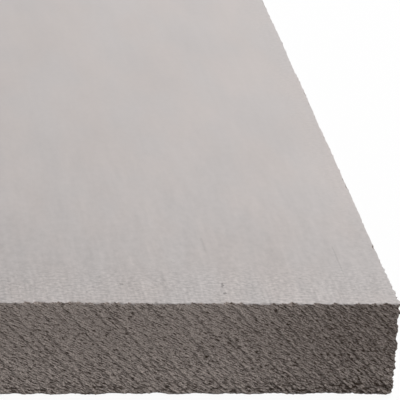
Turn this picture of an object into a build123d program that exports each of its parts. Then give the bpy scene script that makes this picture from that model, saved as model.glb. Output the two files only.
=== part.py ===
from build123d import *
import os

# Rigid microporous insulation board: one pressed sheet of powder, sawn square on
# its four edges. It lies flat as it is stored, with its origin at the middle of the
# underside. X runs across the sheet, Y along it and Z up through its thickness.
# All sizes are in millimetres.

# The sheet as it is sold
sheet_width = 610.0
sheet_length = 1000.0
sheet_thickness = 25.0

# The powder crumbles a little wherever two faces meet: this is the radius that is
# left on the arrises round both pressed faces, and on the four upright corners.
arris_radius = 0.5
corner_radius = 0.9


def sheet_outline():
    """The plan of the sheet, square cut, with its four corners rubbed."""
    return RectangleRounded(sheet_width, sheet_length, corner_radius)


def insulation_board():
    """The whole board: the plan at its full thickness, with both rims softened."""
    board = extrude(sheet_outline(), amount=sheet_thickness)
    underside_rim = board.faces().sort_by(Axis.Z)[0].edges()
    top_rim = board.faces().sort_by(Axis.Z)[-1].edges()
    board = fillet(underside_rim + top_rim, arris_radius)
    board.label = "insulation_board"
    return board


os.makedirs("parts", exist_ok=True)
export_step(insulation_board(), "parts/insulation_board.step")
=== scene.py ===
import math

import bmesh
import bpy
from mathutils import Matrix, Vector, noise


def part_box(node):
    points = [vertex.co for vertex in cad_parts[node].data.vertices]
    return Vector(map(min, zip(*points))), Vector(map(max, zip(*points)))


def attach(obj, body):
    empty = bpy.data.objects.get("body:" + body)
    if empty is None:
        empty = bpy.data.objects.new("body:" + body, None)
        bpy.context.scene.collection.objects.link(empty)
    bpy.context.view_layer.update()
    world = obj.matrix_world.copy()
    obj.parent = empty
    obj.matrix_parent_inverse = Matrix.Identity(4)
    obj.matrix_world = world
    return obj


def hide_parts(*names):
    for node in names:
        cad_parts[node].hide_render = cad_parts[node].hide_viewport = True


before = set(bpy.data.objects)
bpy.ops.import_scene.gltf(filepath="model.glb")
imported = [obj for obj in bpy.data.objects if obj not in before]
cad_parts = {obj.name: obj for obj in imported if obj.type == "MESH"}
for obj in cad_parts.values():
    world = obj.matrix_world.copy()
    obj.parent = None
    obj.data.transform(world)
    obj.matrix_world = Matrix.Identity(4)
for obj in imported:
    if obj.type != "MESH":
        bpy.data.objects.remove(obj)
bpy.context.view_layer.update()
mm = 0.001
onePlace = 0.001 * mm        # points nearer to each other than this are at one place

low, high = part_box("insulation_board")
thick = high.z - low.z
halfWide = (high.x - low.x) / 2
halfLong = (high.y - low.y) / 2

# The sheet is one closed mesh. A strip is made as a wall round it, and the strip's lower and upper
# margins are then folded over the two pressed faces, which close it. The camera looks closely at the
# front right corner, so the strip is cut finest there. Lengths in this dictionary are millimetres.
board = {
    "cell": 1.56,                                   # faces of the strip, before it is cut finer
    "rows": [0.26, 0.78, 2.1, 4.2, 6.3, 8.4, 10.4], # heights, mirrored from the mid line up
    "rings": [0.26, 0.62, 1.2, 2.4],                # in from the sawn edge, on the top face
    "underRings": [0.50, 2.4],                      # the same on the underside
    "finer": [(128, 30, 0.52), (103, 4, 0.26)],     # reach along the front and the side, cell
    "cornerRadius": 0.9,
    "flatFrom": 50,                                 # only the two pressed faces have this many corners
}


def stripRows():         # places across the unfolded strip, from its end under the sheet to the one on top
    full = thick / mm
    half = board["rows"] + [full / 2]
    side = [0.0] + half + [full - z for z in reversed(board["rows"])] + [full]
    under = [-inset for inset in reversed(board["underRings"])]
    return under + side + [full + inset for inset in board["rings"]]


def standStrip():        # the strip before it is folded: a wall round the sheet, all of plain rectangles
    bm = bmesh.new()
    bmesh.ops.create_grid(bm, x_segments=1, y_segments=1, size=1.0)
    bmesh.ops.delete(bm, geom=bm.faces[:], context="FACES_ONLY")
    bmesh.ops.scale(bm, vec=(halfWide, halfLong, 1), verts=bm.verts)
    for axis, half in ((0, halfWide), (1, halfLong)):
        sides = [e for e in bm.edges if abs(e.verts[0].co[axis] - e.verts[1].co[axis]) > half]
        bmesh.ops.subdivide_edges(bm, edges=sides, cuts=round(2 * half / (board["cell"] * mm)) - 1)
    rows = stripRows()
    bmesh.ops.translate(bm, vec=(0, 0, rows[0] * mm), verts=bm.verts)
    ring = bm.edges[:]
    for z in rows[1:]:
        grown = bmesh.ops.extrude_edge_only(bm, edges=ring)["geom"]
        for v in (g for g in grown if isinstance(g, bmesh.types.BMVert)):
            v.co.z = z * mm
        ring = [g for g in grown if isinstance(g, bmesh.types.BMEdge)]
    return bm


def cutFiner(bm, frontReach, sideReach, cell):       # smaller faces on both sides of the front right corner
    def near(v):
        toSide = halfWide - v.co.x
        toFront = halfLong + v.co.y
        onFront = toFront < onePlace and toSide < frontReach * mm
        onSide = toSide < onePlace and toFront < sideReach * mm
        return onFront or onSide

    for level in (True, False):          # the edges along the strip first, and then those across it
        cuts = {}
        for e in bm.edges:
            a, b = e.verts
            if near(a) and near(b) and (abs(a.co.z - b.co.z) < onePlace) == level:
                cuts.setdefault(round(e.calc_length() / (cell * mm)) - 1, []).append(e)
        for count in sorted(c for c in cuts if c > 0):
            bmesh.ops.subdivide_edges(bm, edges=cuts[count], cuts=count)


def foldStrip(bm):       # lays both margins over the pressed faces, mitred at the corners, and closes them
    for v in bm.verts:
        inset = max(-v.co.z, v.co.z - thick, 0.0)
        v.co.x = max(inset - halfWide, min(halfWide - inset, v.co.x))
        v.co.y = max(inset - halfLong, min(halfLong - inset, v.co.y))
        v.co.z = max(0.0, min(thick, v.co.z))
    bmesh.ops.remove_doubles(bm, verts=bm.verts, dist=onePlace)
    bmesh.ops.holes_fill(bm, edges=[e for e in bm.edges if e.is_boundary], sides=0)
    bmesh.ops.recalc_face_normals(bm, faces=bm.faces)


# What the saw and the crumbling powder did to the four edges, and the light and shade painted on them.
# Lengths are millimetres, and slopes are degrees down to the right. A size is how long and how high
# the patches of a pattern are.
sawn = {
    "rest": 0.64,                           # how far in the middle of the torn surface lies
    "wave": {"size": (22, 14), "deep": 0.20},
    # Marks in three sizes. One with an even strength has it everywhere, and the others follow the
    # roughness of the place. Each also gives how dark the painted shade at the foot of its lips is.
    "scales": [
        {"slope": 47, "pitch": 2.55, "long": 22.0, "bend": 0.46, "lip": 0.34, "hollow": 0.47, "even": 1.45},
        {"slope": 46, "pitch": 1.25, "long": 5.0, "bend": 0.60, "lip": 0.10, "hollow": 0.58, "even": None},
        {"slope": 27, "pitch": 0.74, "long": 1.6, "bend": 0.95, "lip": 0.14, "hollow": 0.78, "even": None},
    ],
    "bendOver": 3,                          # one bend takes this many marks with it
    "wobble": {"size": (0.9, 0.7), "share": 0.17},      # small bends, in shares of the pitch
    # where marks end: patches in shares of their length and pitch, the values between which they
    # come in, and how much longer wider marks hold
    "ends": {"long": 0.4, "high": 0.9, "seen": (-0.20, 0.28), "wider": 0.05},
    "lip": {"rise": 0.12, "fall": 4.5},     # profile over the pitch: full at that share, then falling away
    # the painted shade in the hollow at the foot of the next lip: reach, more of it for each millimetre
    # of pitch, how near it is full, and how far it runs on past the lip
    "foot": {"reach": 0.10, "more": 0.11, "full": 0.03, "past": 0.09},
    "grains": {"slope": 28, "size": (0.95, 0.34), "deep": 0.055},
    "patchy": {"size": (13, 9), "share": 0.55},         # how much rougher or smoother one patch is
    "cracks": {"foot": (6.0, 0.5), "size": (1.9, 0.45), "seen": (0.16, 0.40), "deep": 0.16},    # level ones, also painted with shade
    # the widest and the narrowest kept, the share of the width that is floor, and the painted shade in a pit
    "pits": {"size": (3.3, 1.32), "wide": 0.12, "least": 0.07, "floor": 0.3, "deep": 0.12, "dark": 0.3},
    # amounts that come in from one distance to another: above the foot, or from an upright corner
    "footRough": (18.0, 0.0, 1.05),         # the saw broke out at the foot
    "endRough": (50.0, 4.0, 2.50),
    "crumble": (5.0, 0.3, 0.85),            # powder fell from the upright corners
    "footPale": (16.0, 2.0, 0.32),          # painted light: the foot of the sawn edge is painted paler
    "endDark": (52.0, 4.0, 0.27),           # painted shade: the rougher ends are painted darker
    "crumbs": (3.0, 1.1),                   # size of what fell from an upright corner
    "chip": ((0.30, 0.38), (0.22, 0.17)),   # under and above, on the short and then on the long edges
    "chipForms": (                          # how it varies under, and then above
        {"plain": 0.55, "broad": 1.6, "small": 0.4, "nicks": 0.0, "seed": 80},
        {"plain": 0.35, "broad": 1.2, "small": 0.8, "nicks": 0.8, "seed": 85},
    ),
    "chipLong": {"broad": 4.0, "small": 1.4, "nicks": 0.8},
    "nickSeen": (0.05, 0.45),
    "chipLeast": 0.02,
    "chipLie": 2.0,                         # it reaches this much further over the face than down the edge
    # painted shade on the crumbled arris
    "chipDark": 0.42,
}


def step(edge0, edge1, value):
    t = max(0.0, min(1.0, (value - edge0) / (edge1 - edge0)))
    return t * t * (3 - 2 * t)


def turned(along, z, slope):       # the same place, measured along marks of that slope and across them
    c, s = math.cos(math.radians(slope)), math.sin(math.radians(slope))
    return along * c - z * s, along * s + z * c


def patch(u, v, size, seed):       # noise about zero, and each seed gives a pattern of its own
    return noise.noise(Vector((u / size[0], v / size[1], seed)))


def comesIn(name, distance):
    start, end, amount = sawn[name]
    return amount * step(start, end, distance)


def tornScales(along, z, scale):
    # overlapping scales: a raised lip at the lower left of each, and painted shade in the hollow foot below
    # it
    slope, pitch, long = scale["slope"], scale["pitch"], scale["long"]
    wobble, ends, lip, foot = sawn["wobble"], sawn["ends"], sawn["lip"], sawn["foot"]
    u, v = turned(along, z, slope)
    phase = v / pitch + scale["bend"] * patch(u, v, (long, sawn["bendOver"] * pitch), 20 + slope)
    phase += wobble["share"] * patch(u, v, wobble["size"], 31 + slope)
    share = phase - math.floor(phase)
    whole = patch(u, v, (ends["long"] * long, ends["high"] * pitch), slope - 23)
    weight = step(*ends["seen"], whole + ends["wider"] * pitch)
    raised = min(1.0, share / lip["rise"]) * math.exp(-lip["fall"] * share)
    before = step(foot["reach"] + foot["more"] * pitch, foot["full"], (1 - share) * pitch)
    past = step(foot["past"], 0.0, share * pitch)
    return weight * raised, weight * max(before, past)


def sawnDepth(along, z, toCorner):           # how far in from the sawn plane the torn surface lies, and its painted light
    wave, grains, patchy = sawn["wave"], sawn["grains"], sawn["patchy"]
    cracks, pits = sawn["cracks"], sawn["pits"]
    more = 1 + comesIn("footRough", z) + comesIn("endRough", toCorner)
    more *= 1 + patchy["share"] * patch(along, z, patchy["size"], 45)
    # painted shade: how dark the hollows at the feet of lips, the pits and the cracks are painted
    hollow = 0.0
    lips = 0.0
    for scale in sawn["scales"]:
        lip, foot = tornScales(along, z, scale)
        strength = scale["even"] or more
        lips += strength * scale["lip"] * lip
        hollow = max(hollow, strength * scale["hollow"] * foot)
    u, v = turned(along, z, grains["slope"])
    grain = grains["deep"] * patch(u, v, grains["size"], 60)
    crack = step(*cracks["foot"], z) * step(*cracks["seen"], patch(along, z, cracks["size"], 52))
    gaps, spots = noise.voronoi(Vector((u / pits["size"][0], v / pits["size"][1], 0.5)))
    wide = pits["wide"] * noise.cell(spots[0] * 9.7)         # drawn anew for each pit
    pit = step(wide, pits["floor"] * wide, gaps[0]) if wide > pits["least"] else 0.0
    fallen = comesIn("crumble", toCorner) * patch(along, z, sawn["crumbs"], 7)
    depth = sawn["rest"] + wave["deep"] * patch(along, z, wave["size"], 1) + fallen + more * grain - lips
    depth += pits["deep"] * pit + cracks["deep"] * crack
    # painted shade in the pits and the cracks
    hollow = max(hollow, pits["dark"] * more * pit, more * crack)
    # a tone of painted light at the foot and painted shade at the rougher ends
    tone = (1 + comesIn("footPale", z)) * (1 - comesIn("endDark", toCorner))
    return max(0.0, depth), Vector((hollow, more, tone))


def chipDrop(along, chip, up):           # how far the crumbled arris reaches up or down the sawn edge
    form, long = sawn["chipForms"][up], sawn["chipLong"]
    ragged = form["plain"] + form["broad"] * patch(along, 1.7, (long["broad"], 1), form["seed"])
    ragged += form["small"] * patch(along, 4.1, (long["small"], 1), form["seed"] + 10)
    nicks = step(*sawn["nickSeen"], patch(along, 8.6, (long["nicks"], 1), form["seed"] + 15))
    return max(sawn["chipLeast"], chip * (ragged + form["nicks"] * nicks))


def edgeRun(x, y, out):        # millimetres round the sheet from its front left corner, as seen from outside
    wide, long = 2 * halfWide / mm, 2 * halfLong / mm
    if out.y < 0 and abs(out.y) >= abs(out.x):
        return x + wide / 2
    if out.x > 0 and abs(out.x) > abs(out.y):
        return wide + y + long / 2
    if out.y > 0 and abs(out.y) >= abs(out.x):
        return wide + long + wide / 2 - x
    return 2 * wide + long + long / 2 - y


def tornPoint(co):       # where a point of the plain sheet goes, its painted light and roughness, and its place round the edge
    x, y, z = (value / mm for value in co)
    wide, long, full, radius = halfWide / mm, halfLong / mm, thick / mm, board["cornerRadius"]
    inset = min(wide - abs(x), long - abs(y))
    reachX, reachY = wide - inset - radius, long - inset - radius
    centre = Vector((max(-reachX, min(reachX, x)), max(-reachY, min(reachY, y))))
    out = (Vector((x, y)) - centre).normalized()
    run = edgeRun(x, y, out)
    toCorner = max(wide - abs(x), long - abs(y))
    depth, wear = sawnDepth(run, z, toCorner)
    inside = inset * (1 - depth / board["rings"][-1])     # how far the point lies in from the torn surface
    up = z > full / 2
    drop = full - z if up else z
    down = chipDrop(run, sawn["chip"][abs(out.x) > abs(out.y)][up], up)
    over = down * sawn["chipLie"]
    cut = 1 - inside / over - drop / down
    if cut > 0 and inset < board["rings"][-1]:
        # painted shade where the arris crumbled
        wear.z *= 1 - sawn["chipDark"] * min(1.0, 2 * cut)
        inside += over * cut / 2
        drop += down * cut / 2
    place = centre + out * (radius + inset - depth - inside)
    torn = Vector((place.x, place.y, full - drop if up else drop)) * mm
    return torn, wear, Vector((run, z, 0)) * mm


# Where each side lies on the square map for baking: its left and lower margin in pixels, and its
# scale in pixels to the millimetre
mapWidth = 4096
bakeSides = {
    "under": (16, 16, 3.3),
    "top": (2064, 16, 3.3),
    "right": (16, 3340, 4.05),
    "left": (16, 3462, 4.05),
    "back": (16, 3590, 6.6),
    "front": (16, 3780, 6.6),
}


def sideOf(f):           # the side that a face of the plain sheet is on, and the two axes along that side
    xs, ys, zs = ([v.co[axis] for v in f.verts] for axis in range(3))
    if max(zs) - min(zs) < onePlace:
        return ("top" if zs[0] > thick / 2 else "under"), (0, 1)
    if abs(max(xs) - min(xs)) > abs(max(ys) - min(ys)):
        return ("back" if ys[0] > 0 else "front"), (0, 2)
    return ("right" if xs[0] > 0 else "left"), (1, 2)


def mapSides(bm):
    places = bm.loops.layers.uv.new("OFBake")
    start = (-halfWide, -halfLong, 0.0)
    for f in bm.faces:
        side, (across, up) = sideOf(f)
        left, lower, scale = bakeSides[side]
        for corner in f.loops:
            u = left + scale * (corner.vert.co[across] - start[across]) / mm
            v = lower + scale * (corner.vert.co[up] - start[up]) / mm
            corner[places].uv = (u / mapWidth, v / mapWidth)


def makeBoard():
    bm = standStrip()
    for frontReach, sideReach, cell in board["finer"]:
        cutFiner(bm, frontReach, sideReach, cell)
    foldStrip(bm)
    mapSides(bm)
    wears = bm.verts.layers.float_vector.new("wear")        # painted shade in hollows, roughness, and a tone of painted light and shade
    runs = bm.verts.layers.float_vector.new("edgeRun")
    for v in bm.verts:
        v.co, v[wears], v[runs] = tornPoint(v.co)
    for f in bm.faces:
        f.smooth = len(f.verts) < board["flatFrom"]
    mesh = bpy.data.meshes.new("pressedBoard")
    bm.to_mesh(mesh)
    bm.free()
    piece = bpy.data.objects.new("pressedBoard", mesh)
    bpy.context.scene.collection.objects.link(piece)
    return piece


class Wire:      # one value in a shader: sums on it add Math nodes
    def __init__(self, tree, socket):
        self.tree, self.socket = tree, socket

    def node(self, kind, settings=None, out=0, **links):
        made = self.tree.nodes.new(kind)
        for name, value in (settings or {}).items():
            setattr(made, name, value)
        for name, value in links.items():
            plug = made.inputs[int(name[2:]) if name.startswith("in") else name.replace("_", " ")]
            if isinstance(value, Wire):
                self.tree.links.new(value.socket, plug)
            else:
                plug.default_value = value
        return Wire(self.tree, made.outputs[out] if len(made.outputs) else None)

    def math(self, operation, a, b=0.0):
        return self.node("ShaderNodeMath", {"operation": operation}, in0=a, in1=b)

    def __add__(self, other):
        return self.math("ADD", self, other)

    def __radd__(self, other):
        return self.math("ADD", other, self)

    def __sub__(self, other):
        return self.math("SUBTRACT", self, other)

    def __rsub__(self, other):
        return self.math("SUBTRACT", other, self)

    def __mul__(self, other):
        return self.math("MULTIPLY", self, other)

    def __rmul__(self, other):
        return self.math("MULTIPLY", other, self)

    def __truediv__(self, other):
        return self.math("DIVIDE", self, other)

    def __rtruediv__(self, other):
        return self.math("DIVIDE", other, self)

    def between(self, start, end):
        return self.node("ShaderNodeMapRange", {"interpolation_type": "SMOOTHSTEP"}, Value=self,
                         From_Min=start, From_Max=end)


def newMaterial(name):
    material = bpy.data.materials.new(name)
    material.use_nodes = True
    tree = material.node_tree
    tree.nodes.clear()
    return material, Wire(tree, None)


# Colours, painted light and shade, and fine patterns. A size is how far the patches of a pattern
# reach along each axis, a seen pair is the values between which it comes in, a tone is a share of
# the plain colour, and heights and depths of relief are millimetres.
finish = {
    "pressed": (0.516, 0.469, 0.453, 1),
    "pressedCool": (0.502, 0.465, 0.455, 1),
    # lit and shaded copies of the sawn colour, mixed by a factor that holds painted shade and the powder's
    # grain
    "sawnLit": (0.910, 0.793, 0.732, 1),     # the sawn edge is half way between these two
    "sawnShaded": (0.034, 0.016, 0.006, 1),
    "rough": {"pressed": 0.30, "sawn": 0.85},
    "specular": 0.3,
    # how far the pressed skin hangs over the sawn edge at most, how many patches it has in a metre,
    # and how far down from the face it and its sheen end
    "skin": {"over": 0.36 * mm, "patches": 700.0, "seen": (0.42, 0.64),
             "ends": (0.01 * mm, 0.06 * mm), "sheenEnds": (0.005 * mm, 0.05 * mm)},
    # on the sawn edge; the lip of a mark is full at a share of the pitch and then falls to what is left,
    # and its foot is painted with shade
    "marks": {"slope": 26, "size": (1.5 * mm, 0.58 * mm, 1.0), "bend": 1.7, "seen": (0.43, 0.58),
              "rise": 0.16, "left": 0.05, "foot": (0.70, 0.92), "dark": 0.92},
    # dark flecks, cut in by the bump: partly dark grains of the powder, partly painted shade in their
    # grooves
    "flecks": {"slope": 27, "size": (1.50 * mm, 0.24 * mm, 1.0), "seen": (0.405, 0.325),
               "dark": 0.86, "deep": 1.2},
    "powder": {"size": (0.40 * mm, 0.25 * mm, 1.0), "seen": (0.3, 0.7), "plain": 0.79, "light": 0.58,
               "high": 0.4},
    # how dark the painted shade in the hollows of the mesh is, and its most
    "hollows": {"dark": 0.42, "most": 0.8},
    "sawnRelief": 0.10,
    # on the pressed faces; a reach is how far in from an edge
    # painted shade: the pressed faces darker within this reach of the short edges
    "shortEdgeShade": {"reach": 100 * mm, "dark": 0.10},
    "grit": {"reach": 10 * mm, "sideReach": 14 * mm, "sideShare": 0.3, "fades": (30 * mm, 11 * mm),
             "size": (1.15 * mm, 0.90 * mm, 1.0), "tone": 1.00, "high": 0.05},
    "mottle": {"reach": 14 * mm, "size": (1.6 * mm, 3.0 * mm, 1.0), "tone": 0.68},      # softer, further in
    "drawn": {"size": (0.7 * mm, 16 * mm, 1.0), "tone": 0.34, "high": 0.02},    # fine lines
    "rubbed": {"size": (2.6 * mm, 22 * mm, 1.0), "reach": 140 * mm, "least": 0.20, "tone": 0.26},
    "margin": {"reach": 95 * mm, "light": 0.06},       # painted light: the long edges are a little paler
    "clouds": {"size": (22 * mm, 60 * mm, 1.0), "tone": 0.17},
    "cool": {"finer": 1.7, "seen": (0.35, 0.65)},      # where the cooler colour lies
    # dots in a few cells of that pitch: their rim in shares of it, and the draws that make one
    "specks": {"pitch": 6 * mm, "rim": (0.07, 0.03), "darkOnes": (0.74, 0.76), "lightOnes": (0.26, 0.24),
               "dark": 0.28, "light": 0.08, "deep": 0.12, "high": 0.08},
    "singles": {"ragged": 1.6, "rim": (1.0, 0.6)},     # the rims of the single marks below
}

# Single marks on the pressed face by the photographed corner, in millimetres:
# from the long edge, from the short edge, width, length, tone, height
singleMarks = [
    (11.8, 27.8, 0.32, 11.0, -0.09, -0.03),       # faint scratches
    (45.5, 37.0, 0.45, 6.0, -0.06, -0.02),
    (44.0, 11.4, 0.60, 1.3, -0.40, -0.10),        # dark specks
    (43.9, 6.6, 0.50, 0.8, -0.40, -0.10),
    (69.3, 11.8, 0.60, 0.9, -0.30, -0.08),
    (63.0, 12.5, 1.60, 0.8, 0.14, 0.06),          # pale specks
    (54.5, 26.5, 0.55, 1.2, 0.10, 0.05),
]


def sized(w, place, size, slope=0):      # the same place, measured in patches of that size and slope
    return w.node("ShaderNodeMapping", {"vector_type": "TEXTURE"}, Vector=place,
                  Rotation=(0, 0, -math.radians(slope)), Scale=size)


def uneven(w, place, size, detail=2.0, roughness=0.6):       # noise about zero
    return w.node("ShaderNodeTexNoise", Vector=sized(w, place, size), Scale=1.0,
                  Detail=detail, Roughness=roughness) - 0.5


def blended(factor, first, second):          # of a Mix node's sockets, those for colours
    return factor.node("ShaderNodeMix", {"data_type": "RGBA"}, out=2, in0=factor, in6=first, in7=second)


def boardMaterial():
    material, w = newMaterial("pressedPowder")
    place = w.node("ShaderNodeTexCoord", out="Object")
    height = w.node("ShaderNodeSeparateXYZ", out="Z", Vector=place)
    run = w.node("ShaderNodeAttribute", {"attribute_name": "edgeRun"}, out="Vector")
    sawnColour, sawnRelief = sawnLook(w, run)
    pressedColour, pressedRelief = pressedLook(w, place)

    skin, rough = finish["skin"], finish["rough"]
    fromMiddle = w.math("ABSOLUTE", height - thick / 2)
    ragged = w.node("ShaderNodeTexNoise", Vector=run, Scale=skin["patches"], Detail=2.0)
    over = skin["over"] * ragged.between(*skin["seen"])
    torn = (fromMiddle + over).between(*(thick / 2 - down for down in skin["ends"]))
    colour = blended(torn, pressedColour, sawnColour)
    relief = sawnRelief * torn + pressedRelief * (1.0 - torn)
    bump = w.node("ShaderNodeBump", Strength=1.0, Distance=1.0 * mm, Height=relief)
    below = fromMiddle.between(*(thick / 2 - down for down in skin["sheenEnds"]))
    roughness = rough["pressed"] + (rough["sawn"] - rough["pressed"]) * below
    shader = w.node("ShaderNodeBsdfPrincipled", Base_Color=colour, Roughness=roughness,
                    Specular_IOR_Level=finish["specular"], Normal=bump)
    w.node("ShaderNodeOutputMaterial", Surface=shader)
    return material


def sawnLook(w, run):              # colour with painted shade, and relief in millimetres
    wear = w.node("ShaderNodeAttribute", {"attribute_name": "wear"}, out="Vector")
    hollow, more, tone = (w.node("ShaderNodeSeparateXYZ", out=axis, Vector=wear) for axis in "XYZ")
    marks, flecks, powder, hollows = (finish[name] for name in ("marks", "flecks", "powder", "hollows"))

    lines = sized(w, run, marks["size"], marks["slope"])
    bend = w.node("ShaderNodeTexNoise", Vector=lines, Scale=0.8, Detail=1.0)
    weight = w.node("ShaderNodeTexNoise", Vector=lines, Scale=1.3, Detail=0.0).between(*marks["seen"])
    across = w.node("ShaderNodeSeparateXYZ", out="Y", Vector=lines)
    share = w.math("FRACT", across + marks["bend"] * bend)
    lip = w.math("MINIMUM", share / marks["rise"], 1.0) * w.math("POWER", marks["left"], share) * weight
    # painted shade at the foot of each fine mark
    foot = share.between(*marks["foot"]) * weight

    spots = sized(w, run, flecks["size"], flecks["slope"])
    fleck = w.node("ShaderNodeTexNoise", Vector=spots, Scale=1.0, Detail=0.6).between(*flecks["seen"])
    fleck = w.math("MINIMUM", fleck * more, 1.0)
    grains = sized(w, run, powder["size"], flecks["slope"])
    grain = w.node("ShaderNodeTexNoise", Vector=grains, Scale=1.0, Detail=0.0).between(*powder["seen"])

    # painted shade in hollows, at the feet of marks and in the grooves of flecks; the powder's grain is its
    # own tone
    shade = 1.0 - w.math("MINIMUM", hollows["dark"] * hollow, hollows["most"])
    shade = shade * (1.0 - marks["dark"] * foot) * (1.0 - flecks["dark"] * fleck)
    shade = shade * (powder["plain"] + powder["light"] * grain) * tone
    relief = finish["sawnRelief"] * (powder["high"] * grain + lip - flecks["deep"] * fleck)
    return blended(shade / 2.0, finish["sawnShaded"], finish["sawnLit"]), relief


def speckDots(w, place, weight):   # small dark and light dots, each kind in a few of the cells
    specks = finish["specks"]
    cells = w.node("ShaderNodeTexVoronoi", {"feature": "F1"}, Vector=place, Scale=1 / specks["pitch"])
    drawn = Wire(w.tree, cells.socket.node.outputs["Color"])
    chance = w.node("ShaderNodeSeparateColor", out="Red", Color=drawn)
    dot = cells.between(*specks["rim"]) * weight
    return dot * chance.between(*specks["darkOnes"]), dot * chance.between(*specks["lightOnes"])


def pressedLook(w, place):         # colour and relief in millimetres
    sides = w.node("ShaderNodeVectorMath", {"operation": "ABSOLUTE"}, Vector=place)
    inX = halfWide - w.node("ShaderNodeSeparateXYZ", out="X", Vector=sides)
    inY = halfLong - w.node("ShaderNodeSeparateXYZ", out="Y", Vector=sides)
    shortEdgeShade, grit, mottle, drawn = (finish[name] for name in ("shortEdgeShade", "grit", "mottle", "drawn"))
    rubbed, margin, clouds, cool = (finish[name] for name in ("rubbed", "margin", "clouds", "cool"))
    specks, singles = finish["specks"], finish["singles"]

    shortEdgeShaded = inY.between(shortEdgeShade["reach"], 0.0)
    near = inY.between(*grit["fades"])
    side = grit["sideShare"] * inX.between(grit["sideReach"], 0.0)
    fine = w.math("MAXIMUM", near, side)
    gritty = w.math("MAXIMUM", w.math("MINIMUM", grit["reach"] / inY, 1.0), side)
    mottled = w.math("MINIMUM", mottle["reach"] / inY, 1.0) * (1.0 - near)

    grains = uneven(w, place, grit["size"])
    blotches = uneven(w, place, mottle["size"])
    lines = uneven(w, place, drawn["size"], detail=1.0, roughness=0.5)
    streaks = uneven(w, place, rubbed["size"])
    streaks = streaks * (rubbed["least"] + (1 - rubbed["least"]) * inY.between(rubbed["reach"], 0.0))
    cloudy = uneven(w, place, clouds["size"], detail=3.0)
    darkDot, lightDot = speckDots(w, place, gritty)

    # painted shade towards the short edges
    tone = 1.0 - shortEdgeShade["dark"] * shortEdgeShaded + drawn["tone"] * gritty * gritty * lines
    tone = tone + grit["tone"] * fine * grains + mottle["tone"] * mottled * blotches
    tone = tone + clouds["tone"] * cloudy + rubbed["tone"] * streaks
    # painted light towards the long edges
    tone = tone + margin["light"] * inX.between(margin["reach"], 0.0)
    tone = tone - specks["dark"] * darkDot + specks["light"] * lightDot
    relief = grit["high"] * fine * grains + drawn["high"] * gritty * lines
    relief = relief - specks["deep"] * darkDot + specks["high"] * lightDot
    for fromLong, fromShort, wide, long, change, height in singleMarks:
        spot = w.node("ShaderNodeMapping", {"vector_type": "TEXTURE"}, Vector=place,
                      Location=(halfWide - fromLong * mm, fromShort * mm - halfLong, thick),
                      Scale=(wide * mm, long * mm, 1.0))
        off = w.node("ShaderNodeVectorMath", {"operation": "LENGTH"}, out="Value", Vector=spot)
        mark = (off + singles["ragged"] * grains).between(*singles["rim"])
        tone = tone + change * mark
        relief = relief + height * mark

    broad = sized(w, place, clouds["size"])
    hue = w.node("ShaderNodeTexNoise", Vector=broad, Scale=cool["finer"], Detail=2.0).between(*cool["seen"])
    plain = blended(hue, finish["pressed"], finish["pressedCool"])
    colour = w.node("ShaderNodeVectorMath", {"operation": "SCALE"}, Vector=plain, Scale=tone)
    return colour, relief


studio = {
    "world": 0.15,
    "ceiling": 0.5,                # mirror rays meet a white backdrop low down, and this higher up
    "ceilingSeen": (0.25, 0.60),   # how steeply a ray rises where the one turns into the other
    "floor": 0.42,                 # what the floor gives back to the board
    "floorSeen": 0.95,             # its own tone as it is seen
    "floorWhite": 0.93,            # how white it is seen, under the board's shadow
    "floorReach": 60,              # metres
}

lamps = {
    "softBox": {"place": (1.35, -1.90, 2.45), "aim": (0.25, -0.5, 0.0), "size": 1.1, "watts": 28.0},
    "backBox": {"place": (1.00, 0.80, 1.90), "aim": (0.20, -0.3, 0.0), "size": 1.0, "watts": 39.0},
}


def seenDirectly(w):     # 1 for camera, mirror and glass rays, which meet a white room
    path = w.node("ShaderNodeLightPath").socket.node
    kinds = ("Is Camera Ray", "Is Glossy Ray", "Is Transmission Ray")
    camera, mirror, glass = (Wire(w.tree, path.outputs[kind]) for kind in kinds)
    return w.math("MAXIMUM", w.math("MAXIMUM", camera, mirror), glass)


def makeWorld():
    world = bpy.data.worlds.new("studioWorld")
    world.use_nodes = True
    world.node_tree.nodes.clear()
    w = Wire(world.node_tree, None)
    ray = w.node("ShaderNodeTexCoord", out="Generated")
    sky = w.node("ShaderNodeSeparateXYZ", out="Z", Vector=ray)
    white = 1.0 - (1 - studio["ceiling"]) * sky.between(*studio["ceilingSeen"])
    level = seenDirectly(w) * (white - studio["world"]) + studio["world"]
    light = w.node("ShaderNodeBackground", Color=(1, 1, 1, 1), Strength=level)
    w.node("ShaderNodeOutputWorld", Surface=light)
    bpy.context.scene.world = world


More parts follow.
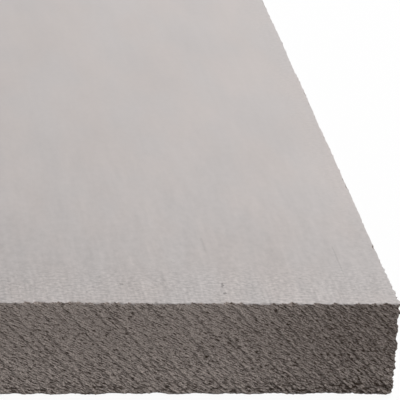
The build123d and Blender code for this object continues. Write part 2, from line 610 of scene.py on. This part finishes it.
def makeFloor():
    bm = bmesh.new()
    bmesh.ops.create_grid(bm, x_segments=1, y_segments=1, size=studio["floorReach"])
    mesh = bpy.data.meshes.new("floor")
    bm.to_mesh(mesh)
    bm.free()
    floor = bpy.data.objects.new("floor", mesh)
    bpy.context.scene.collection.objects.link(floor)
    material, w = newMaterial("paleFloor")
    seen = seenDirectly(w)
    tone = studio["floor"] + seen * (studio["floorSeen"] - studio["floor"])
    grey = w.node("ShaderNodeCombineColor", in0=tone, in1=tone, in2=tone)
    lit = w.node("ShaderNodeBsdfDiffuse", Color=grey)
    white = w.node("ShaderNodeEmission", Color=(1, 1, 1, 1), Strength=1.0)
    mixed = w.node("ShaderNodeMixShader", in0=seen * studio["floorWhite"], in1=lit, in2=white)
    w.node("ShaderNodeOutputMaterial", Surface=mixed)
    mesh.materials.append(material)


def makeLamps():
    for name, spot in lamps.items():
        lamp = bpy.data.lights.new(name, "AREA")
        lamp.shape = "SQUARE"
        lamp.size = spot["size"]
        lamp.energy = spot["watts"]
        holder = bpy.data.objects.new(name, lamp)
        holder.location = spot["place"]
        towards = Vector(spot["aim"]) - Vector(spot["place"])
        holder.rotation_euler = towards.to_track_quat("-Z", "Y").to_euler()
        bpy.context.scene.collection.objects.link(holder)


# The camera stands in front of the photographed corner, a little to its left, and looks down
eye = {
    "place": (0.1518, -1.1516, 0.3255),
    "heading": 8.766,        # degrees from +Y towards +X
    "down": 22.462,
    "roll": 3.831,
    "lens": 264.32,          # millimetres
    "sensor": 36,
    "clip": (0.05, 200),
}


def makeCamera():
    camera = bpy.data.cameras.new("camera")
    camera.lens = eye["lens"]
    camera.sensor_width = eye["sensor"]
    camera.clip_start, camera.clip_end = eye["clip"]
    holder = bpy.data.objects.new("camera", camera)
    turn = (Matrix.Rotation(-math.radians(eye["heading"]), 4, "Z")
            @ Matrix.Rotation(math.radians(90 - eye["down"]), 4, "X")
            @ Matrix.Rotation(math.radians(eye["roll"]), 4, "Z"))
    holder.matrix_world = Matrix.Translation(eye["place"]) @ turn
    bpy.context.scene.collection.objects.link(holder)
    bpy.context.scene.camera = holder


piece = makeBoard()
triangles = sum(len(p.vertices) - 2 for p in piece.data.polygons)
print("board made:", len(piece.data.vertices), "vertices,", triangles, "triangles")

piece.data.materials.append(boardMaterial())
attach(piece, "root")
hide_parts("insulation_board")
print("board finished")

makeWorld()
makeFloor()
makeLamps()
makeCamera()
bpy.context.scene.view_settings.view_transform = "Standard"
print("studio and camera made")
